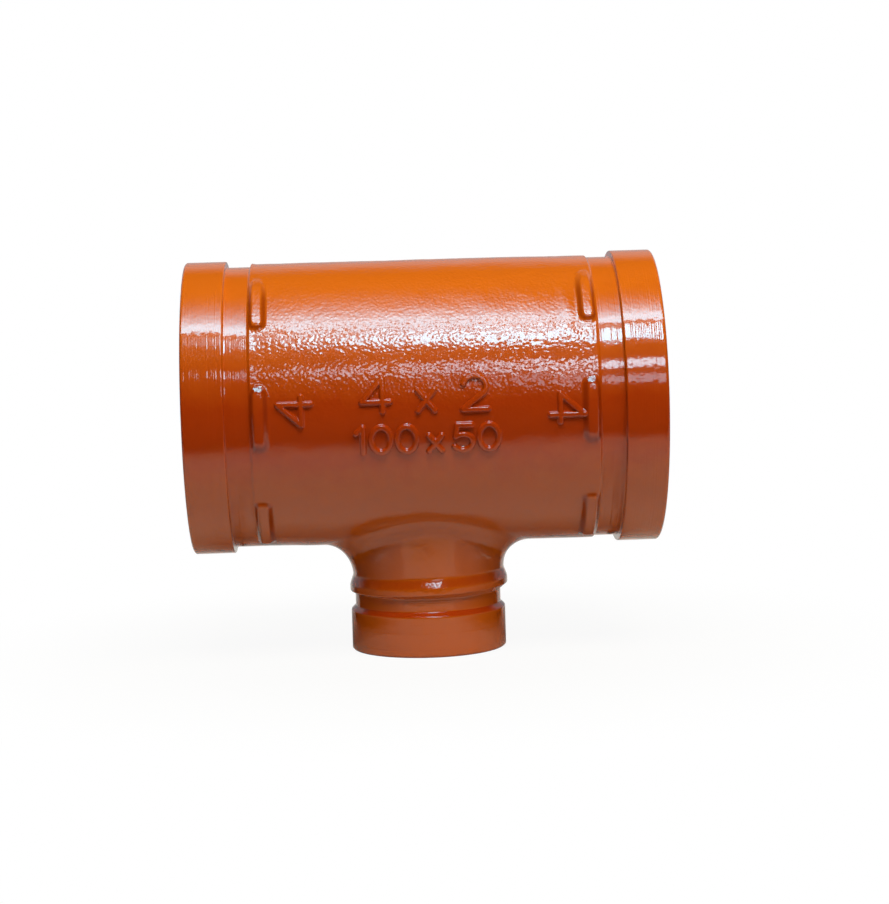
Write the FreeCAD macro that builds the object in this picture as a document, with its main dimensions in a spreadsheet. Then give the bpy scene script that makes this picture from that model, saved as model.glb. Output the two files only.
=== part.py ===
"""Grooved reducing tee: one casting with a large straight run and a smaller branch.

Frame: X runs along the run, Z along the branch, which points down. The origin is the
crossing of the two axes. Lengths are millimetres and angles are degrees.
"""
import FreeCAD
import Part
import Sketcher

import math
import os
import re

SIZES = {
    # Run: the straight passage, with a machined seat and a groove at each end
    "run_half_length": 90.8,
    "run_seat_diameter": 114.3,
    "run_seat_width": 15.88,
    "run_groove_width": 9.53,
    "run_groove_depth": 2.35,
    "run_body_step": 1.65,
    "run_wall": 6.35,
    # Branch: the smaller outlet, its length measured from the run's axis
    "branch_length": 97.1,
    "branch_seat_diameter": 60.3,
    "branch_seat_width": 15.88,
    "branch_seat_slope": 1.6,
    "branch_seat_round": 1.0,
    "branch_groove_width": 8.4,
    "branch_groove_depth": 1.575,
    "branch_groove_round": 1.5,
    "branch_wall": 4.75,
    # Neck: the cast stretch above the bead, which widens towards the run
    "neck_step": 0.35,
    "neck_draft_angle": 4.0,
    # Bead: the rounded shoulder between the branch's groove and its neck
    "bead_rise": 1.0,
    "bead_slope": 1.6,
    "bead_width": 2.4,
    "bead_fall": 3.8,
    "bead_edge_round": 0.5,
    "bead_crown_round": 4.0,
    "bead_root_round": 3.0,
    # Pads: the shoulder beside each run groove, broken into raised lengths
    "pad_height": 1.5,
    "pad_crest_width": 3.3,
    "pad_outer_slope": 1.5,
    "pad_inner_slope": 2.2,
    "pad_end_slope": 3.0,
    "pad_foot_length": 25.2,
    "pad_spacing_angle": 48.75,
    # Edges
    "end_bevel": 0.6,
    "saddle_round": 11.0,
    "bore_corner_round": 3.0,
}
SAME = 1e-4

# Radii, as formulas of the sizes: each is measured in or out from its seat
RUN_SEAT = "(run_seat_diameter / 2)"
RUN_FLOOR = f"({RUN_SEAT} - run_groove_depth)"
RUN_BODY = f"({RUN_SEAT} - run_body_step)"
RUN_BORE = f"({RUN_SEAT} - run_wall)"
BRANCH_SEAT = "(branch_seat_diameter / 2)"
BRANCH_FLOOR = f"({BRANCH_SEAT} - branch_groove_depth)"
BRANCH_BORE = f"({BRANCH_SEAT} - branch_wall)"
BEAD = f"({BRANCH_SEAT} + bead_rise)"

# Distances along the run and down the branch
RUN_SEAT_INNER = "(run_half_length - run_seat_width)"
RUN_GROOVE_INNER = f"({RUN_SEAT_INNER} - run_groove_width)"
BRANCH_SEAT_INNER = "(branch_length - branch_seat_width)"
BRANCH_GROOVE_INNER = f"({BRANCH_SEAT_INNER} - branch_groove_width)"
BEAD_FOOT = f"({BRANCH_GROOVE_INNER} - bead_width - bead_fall)"

# The neck's radius at the foot of the bead, and where its draft would meet the run's axis
NECK_LOW = f"({BRANCH_SEAT} - neck_step)"
NECK_HIGH = f"({NECK_LOW} + {BEAD_FOOT} * tan(neck_draft_angle))"

doc = FreeCAD.newDocument("grooved_reducing_tee")
sheet = doc.addObject("Spreadsheet::Sheet", "sizes")
for row, (alias, size) in enumerate(SIZES.items(), start=1):
    sheet.set(f"A{row}", alias)
    sheet.set(f"B{row}", str(size))
    sheet.setAlias(f"B{row}", alias)
doc.recompute()


def bound(formula):
    """Return a formula with the name of each size turned into its cell in the sheet."""
    return re.sub(r"[a-z_]+", lambda m: f"sizes.{m[0]}" if m[0] in SIZES else m[0], formula)


def value(formula):
    """Return the number that a formula of sizes comes to."""
    return float(sheet.evalExpression(bound(formula)))


def add_sketch(body, name, plane):
    """Return an empty sketch on one of the body's own origin planes."""
    sketch = body.newObject("Sketcher::SketchObject", name)
    sketch.AttachmentSupport = [(o, "") for o in body.Origin.OriginFeatures if o.Role == plane]
    sketch.MapMode = "FlatFace"
    return sketch


def bind(sketch, constraint, formula):
    """Add a constraint and tie its size to a formula."""
    index = sketch.addConstraint(constraint)
    sketch.setExpression(f"Constraints[{index}]", bound(formula))


def hold_point(sketch, item, end, across, up):
    """Hold the end of an item at a place given by two formulas, or on an axis where one is 0."""
    for kind, formula, axis in (("DistanceX", across, -2), ("DistanceY", up, -1)):
        if formula == "0":
            sketch.addConstraint(Sketcher.Constraint("PointOnObject", item, end, axis))
        else:
            spot = Sketcher.Constraint(kind, -1, 1, item, end, value(formula))
            bind(sketch, spot, formula)


def draw_side(sketch, start, end):
    """Draw a straight side and return its item with the numbers of its two ends."""
    return sketch.addGeometry(Part.LineSegment(start, end)), 1, 2


def draw_bow(sketch, start, end, radius):
    """Draw a side bowed about the sketch's origin, which its radius formula sizes."""
    forward = start.cross(end).z > 0
    circle = Part.Circle(FreeCAD.Vector(), FreeCAD.Vector(0, 0, 1), value(radius))
    angles = [math.atan2(p.y, p.x) for p in ((start, end) if forward else (end, start))]
    item = sketch.addGeometry(Part.ArcOfCircle(circle, *angles))
    bind(sketch, Sketcher.Constraint("Radius", item, value(radius)), radius)
    return (item, 1, 2) if forward else (item, 2, 1)


def round_corner(sketch, before, after, points, setback, corner):
    """Join two sides with an arc tangent to both, and hold the corner that it rounds off."""
    inward = (points[1] - points[0]).normalize()
    outward = (points[2] - points[1]).normalize()
    ends = [points[1] - inward * setback, points[1] + outward * setback]
    turn = 1 if inward.cross(outward).z > 0 else -1
    radius = value(corner[2])
    centre = ends[0] + FreeCAD.Vector(-inward.y, inward.x, 0) * radius * turn
    angles = [math.atan2(p.y - centre.y, p.x - centre.x) for p in ends[::turn]]
    circle = Part.Circle(centre, FreeCAD.Vector(0, 0, 1), radius)
    item = sketch.addGeometry(Part.ArcOfCircle(circle, *angles))
    first, last = (1, 2) if turn > 0 else (2, 1)
    tip = sketch.addGeometry(Part.Point(points[1]), True)
    sketch.addConstraint(Sketcher.Constraint("Tangent", before[0], before[2], item, first))
    sketch.addConstraint(Sketcher.Constraint("Tangent", item, last, after[0], after[1]))
    sketch.addConstraint(Sketcher.Constraint("PointOnObject", tip, 1, before[0]))
    sketch.addConstraint(Sketcher.Constraint("PointOnObject", tip, 1, after[0]))
    bind(sketch, Sketcher.Constraint("Radius", item, radius), corner[2])
    hold_point(sketch, tip, 1, corner[0], corner[1])


def draw_outline(sketch, corners, bows=None):
    """Draw a closed outline.

    Each corner is a tuple of formulas for its place across and up, and may have a third for
    the radius that rounds it. A side is straight, unless bows gives a radius for its number:
    then it is an arc about the sketch's origin.
    """
    bows = bows or {}
    points = [FreeCAD.Vector(value(corner[0]), value(corner[1]), 0) for corner in corners]
    count = len(corners)
    around = [(points[i - 1], points[i], points[(i + 1) % count]) for i in range(count)]
    setbacks = []
    for corner, (last, here, following) in zip(corners, around):
        opening = (last - here).getAngle(following - here)
        setbacks.append(value(corner[2]) / math.tan(opening / 2) if len(corner) > 2 else 0)

    sides = []
    for i, (_, here, following) in enumerate(around):
        if i in bows:
            sides.append(draw_bow(sketch, here, following, bows[i]))
            continue
        along = (following - here).normalize()
        start = here + along * setbacks[i]
        sides.append(draw_side(sketch, start, following - along * setbacks[(i + 1) % count]))

    for i, corner in enumerate(corners):
        before, after = sides[i - 1], sides[i]
        if setbacks[i]:
            round_corner(sketch, before, after, around[i], setbacks[i], corner)
        else:
            meeting = (before[0], before[2], after[0], after[1])
            sketch.addConstraint(Sketcher.Constraint("Coincident", *meeting))
            hold_point(sketch, after[0], after[1], corner[0], corner[1])


def add_revolution(body, name, sketch, axis):
    """Turn a sketch about one of its own axes and add the result to the body."""
    turned = body.newObject("PartDesign::Revolution", name)
    turned.Profile = sketch
    turned.ReferenceAxis = (sketch, [axis])
    turned.Angle = 360.0
    return turned


def add_bore(body, name, plane, radius, both_ways):
    """Cut a round passage square to one of the body's origin planes."""
    sketch = add_sketch(body, f"{name}_section", plane)
    circle = Part.Circle(FreeCAD.Vector(), FreeCAD.Vector(0, 0, 1), value(radius))
    item = sketch.addGeometry(circle)
    sketch.addConstraint(Sketcher.Constraint("Coincident", item, 3, -1, 1))
    bind(sketch, Sketcher.Constraint("Radius", item, value(radius)), radius)
    pocket = body.newObject("PartDesign::Pocket", name)
    pocket.Profile = sketch
    pocket.Type = "ThroughAll"
    pocket.Midplane = both_ways
    return pocket


def add_crossing_round(body, name, base, run_radius, branch_radius, radius, draft="0"):
    """Round the edge where the run and the branch cross.

    The branch's radius is given where it meets the run's axis. Its draft, an angle, makes it
    narrower on the way down.
    """
    doc.recompute()
    narrowing = math.tan(math.radians(value(draft)))
    names = []
    for number, edge in enumerate(base.Shape.Edges, start=1):
        spots = edge.discretize(5)
        off_run = [abs(math.hypot(p.y, p.z) - value(run_radius)) for p in spots]
        off_branch = [abs(math.hypot(p.x, p.y) - value(branch_radius) - p.z * narrowing)
                      for p in spots]
        if max(off_run + off_branch) < SAME:
            names.append(f"Edge{number}")
    if not names:
        raise RuntimeError(f"{name}: the run and the branch share no edge")
    fillet = body.newObject("PartDesign::Fillet", name)
    fillet.Base = (base, names)
    fillet.setExpression("Radius", bound(radius))
    return fillet


def run_corners():
    """Return half the run's outline, from the foot of its pads to the end face."""
    crest = f"{RUN_GROOVE_INNER} - pad_outer_slope"
    crest_radius = f"{RUN_BODY} + pad_height"
    return [
        (f"{crest} - pad_crest_width - pad_inner_slope", RUN_BODY),
        (f"{crest} - pad_crest_width", crest_radius),
        (crest, crest_radius),
        (RUN_GROOVE_INNER, RUN_BODY),
        (RUN_GROOVE_INNER, RUN_FLOOR),
        (RUN_SEAT_INNER, RUN_FLOOR),
        (RUN_SEAT_INNER, RUN_SEAT),
        ("run_half_length - end_bevel", RUN_SEAT),
        ("run_half_length", f"{RUN_SEAT} - end_bevel"),
        ("run_half_length", "0"),
    ]


def branch_corners():
    """Return the branch's outline, from its end face up to the run's axis."""
    return [
        ("0", "-branch_length"),
        (f"{BRANCH_SEAT} - end_bevel", "-branch_length"),
        (BRANCH_SEAT, "end_bevel - branch_length"),
        (BRANCH_SEAT, f"-{BRANCH_SEAT_INNER}", "branch_seat_round"),
        (BRANCH_FLOOR, f"branch_seat_slope - {BRANCH_SEAT_INNER}", "branch_groove_round"),
        (BRANCH_FLOOR, f"-{BRANCH_GROOVE_INNER} - bead_slope"),
        (BEAD, f"-{BRANCH_GROOVE_INNER}", "bead_edge_round"),
        (BEAD, f"-{BRANCH_GROOVE_INNER} + bead_width", "bead_crown_round"),
        (NECK_LOW, f"-{BEAD_FOOT}", "bead_root_round"),
        (NECK_HIGH, "0"),
        ("0", "0"),
    ]


def relief_corners(low_pad, high_pad):
    """Return the gap between two neighbouring pads, whose middles stand at two angles.

    Each side of the gap is the slope of a pad's end, carried on to twice the pad's height.
    """
    half = "(pad_foot_length / 2)"
    corners = []
    for angle, side, levels in ((low_pad, 1, (0, 2)), (high_pad, -1, (2, 0))):
        for level in levels:
            out = f"(sqrt({RUN_BODY} ^ 2 - {half} ^ 2) + {level} * pad_height)"
            along = f"({side} * ({half} - {level} * pad_end_slope))"
            corners.append((f"{out} * cos({angle}) - {along} * sin({angle})",
                            f"{out} * sin({angle}) + {along} * cos({angle})"))
    return corners


body = doc.addObject("PartDesign::Body", "tee_body")
body.Label = "tee_body"

# The run is turned from one outline, with a whole shoulder beside each groove
run_section = add_sketch(body, "run_section", "XZ_Plane")
right_half = run_corners()
left_half = [(f"-({across})", up) for across, up in reversed(right_half)]
draw_outline(run_section, right_half + left_half)
add_revolution(body, "run", run_section, "H_Axis")

# Relief between the pads is cut down to the body, as far as the grooves
relief_section = add_sketch(body, "pad_relief_section", "YZ_Plane")
pad_angles = ["0", "pad_spacing_angle", "180 - pad_spacing_angle",
              "180", "180 + pad_spacing_angle", "360 - pad_spacing_angle"]
for low_pad, high_pad in zip(pad_angles, pad_angles[1:] + ["360"]):
    gap = relief_corners(low_pad, high_pad)
    rim = f"sqrt(({gap[1][0]}) ^ 2 + ({gap[1][1]}) ^ 2)"
    draw_outline(relief_section, gap, {1: rim, 3: RUN_BODY})
relief = body.newObject("PartDesign::Pocket", "pad_relief")
relief.Profile = relief_section
relief.Midplane = True
relief.setExpression("Length", bound(f"2 * {RUN_GROOVE_INNER}"))

# The branch is turned about the vertical axis, with its seat, groove, bead and neck
branch_section = add_sketch(body, "branch_section", "XZ_Plane")
draw_outline(branch_section, branch_corners())
branch = add_revolution(body, "branch", branch_section, "V_Axis")

# The neck flares into the run, as far as the foot of the bead leaves room
neck_clear = f"({BEAD_FOOT} - bead_root_round / 4 - {RUN_BODY}) / (1 - sin(neck_draft_angle))"
add_crossing_round(body, "saddle", branch, RUN_BODY, NECK_HIGH,
                   f"min(saddle_round; {neck_clear})", "neck_draft_angle")

# The two passages are cored out and meet with a rounded corner
add_bore(body, "run_bore", "YZ_Plane", RUN_BORE, True)
branch_bore = add_bore(body, "branch_bore", "XY_Plane", BRANCH_BORE, False)
body.Tip = add_crossing_round(body, "bore_corner", branch_bore, RUN_BORE, BRANCH_BORE,
                              "bore_corner_round")
doc.recompute()

for item in doc.Objects:
    if {"Invalid", "Error"} & set(item.State):
        raise RuntimeError(f"{item.Label} is {item.State}")
for sketch in doc.findObjects("Sketcher::SketchObject"):
    if not sketch.FullyConstrained:
        raise RuntimeError(f"{sketch.Label} is not fully held by its sizes")
shape = body.Shape
if shape.isNull() or not shape.isValid() or len(shape.Solids) != 1:
    raise RuntimeError("tee_body is not one valid solid")

os.makedirs("parts", exist_ok=True)
shape.exportStep(f"parts/{body.Label}.step")
print(f"{body.Label}: {shape.Volume:.0f} cubic millimetres, {len(shape.Faces)} faces")
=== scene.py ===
"""Looks of the grooved reducing tee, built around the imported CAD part.

The casting and its numerals are worked out in millimetres and placed in metres, the unit of the
frame and of the studio. X runs along the run, Z up, and the branch points down from the origin.
"""

import math

import bpy
import numpy as np
from bpy.props import FloatProperty, FloatVectorProperty, PointerProperty
from mathutils import Matrix, Vector


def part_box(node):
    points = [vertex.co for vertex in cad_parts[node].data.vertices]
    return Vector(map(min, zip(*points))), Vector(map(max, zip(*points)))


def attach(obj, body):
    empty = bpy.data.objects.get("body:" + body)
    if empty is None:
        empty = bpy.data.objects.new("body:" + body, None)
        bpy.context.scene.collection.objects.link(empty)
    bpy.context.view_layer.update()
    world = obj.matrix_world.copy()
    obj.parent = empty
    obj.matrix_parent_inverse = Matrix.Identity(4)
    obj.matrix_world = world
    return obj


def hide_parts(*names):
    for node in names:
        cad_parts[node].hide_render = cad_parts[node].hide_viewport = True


bl_info = {
    "name": "Grooved Reducing Tee",
    "version": (1, 0, 0),
    "blender": (4, 5, 0),
    "location": "3D View > Sidebar > Pipe Fitting",
    "description": "Builds a cast pipe tee in gloss enamel, its size numerals and a small studio",
    "category": "Add Mesh",
}

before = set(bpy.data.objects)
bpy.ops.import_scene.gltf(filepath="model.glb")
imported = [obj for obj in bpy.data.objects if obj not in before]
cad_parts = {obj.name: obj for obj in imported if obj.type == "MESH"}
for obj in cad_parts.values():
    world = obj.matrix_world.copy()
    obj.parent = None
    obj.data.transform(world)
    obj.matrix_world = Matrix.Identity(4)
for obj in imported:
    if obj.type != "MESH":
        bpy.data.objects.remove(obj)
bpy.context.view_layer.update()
CAD_LOW, CAD_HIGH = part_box("tee_body")
MM = 0.001


def linear(hex_colour):
    """Turn an sRGB hex colour into the linear values that Blender's nodes take."""
    parts = [int(hex_colour[i:i + 2], 16) / 255 for i in (1, 3, 5)]
    return [c / 12.92 if c <= 0.04045 else ((c + 0.055) / 1.055) ** 2.4 for c in parts]


def length(name, description, millimetres):
    """Return a length property whose default is given in millimetres."""
    return FloatProperty(name=name, description=description, default=millimetres * MM,
                         precision=5, unit="LENGTH", subtype="DISTANCE")


def angle(name, description, degrees):
    """Return an angle property whose default is given in degrees."""
    return FloatProperty(name=name, description=description, default=math.radians(degrees),
                         unit="ROTATION", subtype="ANGLE")


def colour(name, description, hex_colour):
    """Return a colour property whose default is given as an sRGB hex colour."""
    return FloatVectorProperty(name=name, description=description, size=3, subtype="COLOR",
                               min=0, max=1, default=linear(hex_colour))


class TeeSizes(bpy.types.PropertyGroup):
    """Sizes of the casting and its machined ends"""
    run_reach: length("Run reach", "From the branch's axis to each end face of the run",
                      CAD_HIGH.x / MM)
    run_seat: length("Run seat radius", "Radius of the gasket seats of the run",
                     CAD_HIGH.z / MM)
    run_floor: length("Run groove radius", "Radius of the groove floors of the run", 54.8)
    run_body: length("Run body radius", "Radius of the cast run between its grooves", 55.5)
    run_bore: length("Run bore radius", "Radius of the passage through the run", 50.8)
    branch_reach: length("Branch reach", "From the run's axis to the branch's end face",
                         -CAD_LOW.z / MM)
    branch_seat: length("Branch seat radius", "Radius of the branch's seat, with its enamel", 30.45)
    branch_floor: length("Branch groove radius", "Radius of the branch's groove floor", 28.7)
    branch_neck: length("Branch neck radius", "Radius of the cast neck where it meets the bead",
                        29.8)
    neck_draft: angle("Neck draft", "Angle by which the cast neck widens upwards", 4)
    branch_bore: length("Branch bore radius", "Radius of the passage down the branch", 25.4)
    bead: length("Bead radius", "Radius of the rounded bead above the branch's groove", 31.15)
    saddle_round: length("Saddle round", "Radius that flares the neck into the run", 11.0)
    corner_round: length("Bore corner round", "Radius where the two passages meet", 3.0)
    pad_height: length("Pad height", "Rise of the pads beside the run grooves", 1.5)
    pad_length: length("Pad length", "Length of each pad around the run, at its foot", 25.2)
    pad_spacing: angle("Pad spacing", "Angle between neighbouring pads of one side", 48.75)
    numeral_rise: length("Numeral rise", "Rise of the cast numerals above the body", 1.35)


class TeeFinish(bpy.types.PropertyGroup):
    """Colours of the enamel"""
    # Painted light and shade: the enamel is lighter and yellower on top, where the lamps above
    # fall, and darker lower down
    enamel: colour("Enamel", "Gloss enamel where it lies thin, on top", "#CB640F")
    # Painted shade: the darker, redder enamel of the front and middle, which get less light
    enamel_painted_shade: colour("Deep enamel", "The same where it has run down and lies thicker",
                        "#9B3204")
    # Painted reflection of the pale floor: a yellower brown on low faces that do not look up
    enamel_painted_floor_reflection: colour("Enamel underneath", "The same where it drips off and dries duller",
                         "#AF4E0A")
    # Painted shade: a dark brown on the pads' slopes
    enamel_painted_pad_shade: colour("Pooled enamel", "The same on the pads' slopes, where it gathers",
                        "#7A2200")


class StudioLight(bpy.types.PropertyGroup):
    """Strength of the studio's lights"""
    overhead: FloatProperty(name="Overhead", description="Glow of the overhead softbox",
                            default=17.0, min=0)
    window: FloatProperty(name="Window", description="Glow of the tall panes at the front",
                          default=17.0, min=0)
    ambient: FloatProperty(name="Ambient", description="Soft light from all round",
                           default=0.03, min=0)


# Shapes on grids of points

def smooth(t):
    """Ease from 0 to 1: three t squared less two t cubed, with t held between 0 and 1."""
    t = np.clip(t, 0, 1)
    return t * t * (3 - 2 * t)


def climb(t):
    """Rise from 0 to 1 in a straight line as t does, with both bends a little rounded.

    It is half of the difference of two hyperbolas, which have their bends at 0 and at 1.
    """
    return (np.hypot(t, 0.12) - np.hypot(t - 1, 0.12) + 1) / 2


def graded(start, end, holds, finest, coarsest, growth, even=False):
    """Return places from start to end, close together beside each hold.

    The spacing is the finest one at a hold and grows in step with the distance from it, up to
    the coarsest. Summing its inverse along the line numbers the places.
    """
    fine = np.linspace(start, end, 8000)
    nearest = np.min([np.abs(fine - hold) for hold in holds], axis=0)
    density = 1 / np.minimum(coarsest, finest + growth * nearest)
    steps = (density[1:] + density[:-1]) / 2 * np.diff(fine)
    number = np.concatenate([[0], np.cumsum(steps)])
    count = int(np.ceil(number[-1]))
    count += count % 2 if even else 0
    return np.interp(np.linspace(0, number[-1], count + 1), number, fine)


def rounded_path(corners, steps=8):
    """Return the points of a path whose corners are rounded, and where each corner lies.

    Each corner is (along, out, radius). The arc starts and ends where it touches the two
    straight lines, and its points lie at even angles about its centre.
    """
    spots = [np.array(corner[:2], float) for corner in corners]
    points, middles = [spots[0][None]], []
    for before, here, after, corner in zip(spots, spots[1:], spots[2:], corners[1:]):
        inward = (here - before) / np.linalg.norm(here - before)
        outward = (after - here) / np.linalg.norm(after - here)
        turn = math.atan2(inward[0] * outward[1] - inward[1] * outward[0], inward @ outward)
        side = math.copysign(1, turn)
        start = here - inward * corner[2] * math.tan(abs(turn) / 2)
        normal = np.array([-inward[1], inward[0]]) * side
        centre = start + normal * corner[2]
        swing = np.linspace(0, turn, steps + 1)[:, None]
        points.append(centre - corner[2] * (normal * np.cos(swing)
                                            - inward * side * np.sin(swing)))
        middles.append(sum(len(p) for p in points) - steps // 2 - 1)
    points.append(spots[-1][None])
    path = np.concatenate(points)
    walked = np.concatenate([[0], np.cumsum(np.linalg.norm(np.diff(path, axis=0), axis=1))])
    return path, walked, walked[middles]


def walk_profile(corners, finest, coarsest, growth, holds=()):
    """Return steps along a rounded path, close together at its corners and at the holds.

    Each has how far along the path it lies, and its two places.
    """
    path, walked, turns = rounded_path(corners)
    walk = graded(0, walked[-1], [*turns, *holds], finest, coarsest, growth)
    return walk, np.interp(walk, walked, path[:, 0]), np.interp(walk, walked, path[:, 1])


def ripple(points, wavelength, count, seed):
    """Return smooth random ripples at some points, about 1 high.

    They are the sum of sine waves that run in random directions, with random phases and
    lengths within a quarter of the wavelength given.
    """
    rng = np.random.default_rng(seed)
    ways = rng.normal(size=(count, 3))
    ways /= np.linalg.norm(ways, axis=1, keepdims=True)
    ways *= 2 * np.pi / (wavelength * rng.uniform(0.75, 1.25, (count, 1)))
    phases = rng.uniform(0, 2 * np.pi, count)
    return np.sin(points @ ways.T + phases).sum(-1) * math.sqrt(2 / count)


def window_loop(grid):
    """Return the values around the rim of a rectangular window of a grid, once round."""
    return np.concatenate([grid[0, :-1], grid[:-1, -1], grid[-1, :0:-1], grid[:0:-1, 0]])


def cell_corners(ids):
    """Return the four corners of each cell of a grid of ids, once round."""
    return ids[:-1, :-1], ids[:-1, 1:], ids[1:, 1:], ids[1:, :-1]


class Shell:
    """Vertices, values and faces gathered from several grids into one skin."""

    def __init__(self):
        self.places, self.values, self.faces, self.finishes = [], [], [], []
        self.count = 0

    def add(self, places, values):
        """Add a grid of vertices, each with its two values, and return their ids."""
        flat = places.reshape(-1, 3)
        self.places.append(flat)
        self.values.append(np.broadcast_to(values, places.shape[:-1] + (2,)).reshape(-1, 2))
        ids = np.arange(self.count, self.count + len(flat)).reshape(places.shape[:-1])
        self.count += len(flat)
        return ids

    def skin(self, ids, finish, inside_out=False, keep=None):
        """Fill a grid of ids with four-sided faces that look away from the iron."""
        a, b, c, d = cell_corners(ids)
        faces = np.stack([a, d, c, b] if inside_out else [a, b, c, d], -1)
        finish = np.broadcast_to(finish, a.shape)
        if keep is not None:
            faces, finish = faces[keep], finish[keep]
        self.faces.append(faces.reshape(-1, 4))
        self.finishes.append(finish.reshape(-1))

    def wrap(self, ids, finish, rows, columns, inside_out=False):
        """Skin a grid that closes around the run, but not the window in its first rows."""
        keep = np.ones((len(ids), ids.shape[1] - 1), bool)
        keep[:rows - 1, columns.start:columns.stop - 1] = False
        self.skin(np.vstack([ids, ids[:1]]), finish, inside_out, keep)

    def sleeve(self, rings, finish):
        """Skin a stack of closed rings, each a row of ids."""
        self.skin(np.hstack([rings, rings[:, :1]]), finish)

    def halve(self, many, few, finish, inside_out=False):
        """Join a closed ring of ids to one with half as many, by five-sided faces."""
        many, few = np.append(many, many[0]), np.append(few, few[0])
        faces = np.stack([many[:-2:2], many[1:-1:2], many[2::2], few[1:], few[:-1]], -1)
        self.faces.append(faces[:, ::-1] if inside_out else faces)
        self.finishes.append(np.full(len(faces), finish))


def add_object(name, data):
    """Put a mesh, a light or a camera into the scene as an object."""
    thing = bpy.data.objects.new(name, data)
    bpy.context.scene.collection.objects.link(thing)
    return thing


def place_mesh(name, places, faces, materials, finishes=None, layers=None):
    """Make an object at the origin from places in metres and groups of faces.

    Places that no face uses are left out. A layer is one value kept with each place.
    """
    used = np.unique(np.concatenate([np.unique(group) for group in faces]))
    renumber = np.zeros(len(places), int)
    renumber[used] = np.arange(len(used))
    mesh = bpy.data.meshes.new(name)
    mesh.from_pydata(places[used].tolist(), [],
                     [face for group in faces for face in renumber[group].tolist()])
    mesh.polygons.foreach_set("use_smooth", np.ones(len(mesh.polygons), bool))
    for material in materials:
        mesh.materials.append(material)
    if finishes:
        mesh.polygons.foreach_set("material_index", np.concatenate(finishes).astype(np.int32))
    for layer, values in (layers or {}).items():
        attribute = mesh.attributes.new(layer, "FLOAT", "POINT")
        attribute.data.foreach_set("value", values[used].astype(np.float32))
    mesh.update()
    return add_object(name, mesh)


# The casting

CAST, TURNED = 0, 1                 # material slots of the casting
SEAT_WIDTH = 15.88                  # from each end face to its groove
CHAMFER = 0.6                       # broken edge of each machined end
EDGE_ROUND = 0.3                    # rounding of the two edges of that chamfer
GROOVE_ROUND = 0.35                 # rounding of the corners beside the run's grooves
GROOVE_WALL = 65.39                 # where the cast body meets the run's groove
WALL_SOFTNESS = 0.9                 # length over which that low wall rises
BRANCH_GROOVE = 8.4                 # width of the branch's groove at its rims
GROOVE_SIDE = 1.6                   # length along the branch of the groove's sloped sides
BEAD_WIDTH = 6.2                    # from that groove to the foot of the neck
FEED_APART = 200                    # keeps the branch's rings from repeating the run's
MOUTH_ROUND = 0.4                   # rounding where a bore meets its end face
PAD_FOOT = 58.39                    # where the pads' inner slopes start
PAD_OUTER = 1.5                     # length of the slope beside the groove
PAD_INNER = 2.2                     # length of the slope towards the branch
MIDDLE_END = 2.7                    # length of the end slopes of the middle pads
NEAR_ENDS = (2.0, 1.3)              # the same at the near ends of the upper and lower pads
FAR_ENDS = (8.0, 3.0)               # the same at their far ends
PAD_RUNS_ON = (4.2, 7.0)            # how much further those far ends reach
PAD_CORNER = 0.5                    # rounding of the pads' corners, as a share of the slopes
PAD_TURN = math.radians(-1.5)       # how far round the casting sits against its branch
WINDOW_X = 42.0                     # half of the window that the branch grows from
WINDOW_ANGLE = math.radians(39.5)   # the same, around the run
BEAD_TILT = 0.025                   # slope at which the cast bead leans against the groove
NECK_ASIDE = 0.45                   # how far the cast neck and bead stand off the branch's axis


def mm(sizes):
    """Return the sizes as millimetres, or radians for angles, under their own names."""
    return {key: getattr(sizes, key) / (1 if key in ("pad_spacing", "neck_draft") else MM)
            for key in type(sizes).__annotations__}


def on_run(x, phi, radius):
    """Wrap a length and an angle round the run. The angle is 0 at the front, 90 on top."""
    return np.stack(np.broadcast_arrays(x, -radius * np.cos(phi), radius * np.sin(phi)), -1)


def pad_angles(s):
    """Return the angles of the six pads of one end: three at the front, three behind."""
    front = [-s["pad_spacing"], 0, s["pad_spacing"]]
    return front + [math.pi + a for a in front]


def pad_rise(x, phi, s):
    """Return how high the pads stand as a share of their height: 1 on top, 0 beside them.

    They are flat-topped, with straight slopes that meet in round corners. The ends of the upper
    and lower pads that are far from the middle pad reach further and slope more gently.
    """
    reach = np.abs(x)
    across = 1 - np.minimum((GROOVE_WALL - reach) / PAD_OUTER, (reach - PAD_FOOT) / PAD_INNER)
    pads = np.zeros(np.broadcast(x, phi).shape)
    for middle in pad_angles(s):
        around = (phi - PAD_TURN - middle + math.pi) % (2 * math.pi) - math.pi
        away, lower = math.sin(2 * middle), int(math.sin(middle) < 0)
        if abs(away) < 0.1:
            slope, longer = MIDDLE_END, 0
        else:
            slope = np.where(around * away < 0, NEAR_ENDS[lower], FAR_ENDS[lower])
            longer = PAD_RUNS_ON[lower]
        end = s["pad_length"] / 2 + longer * (around * away > 0)
        beyond = 1 - (end - np.abs(around) * s["run_body"]) / slope
        # Both count the slope's lengths outwards from the flat top, and meet in a round corner
        out = (np.hypot(np.maximum(across + PAD_CORNER, 0), np.maximum(beyond + PAD_CORNER, 0))
               + np.minimum(np.maximum(across, beyond) + PAD_CORNER, 0) - PAD_CORNER)
        pads = np.maximum(pads, climb(1 - out))
    return pads


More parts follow.
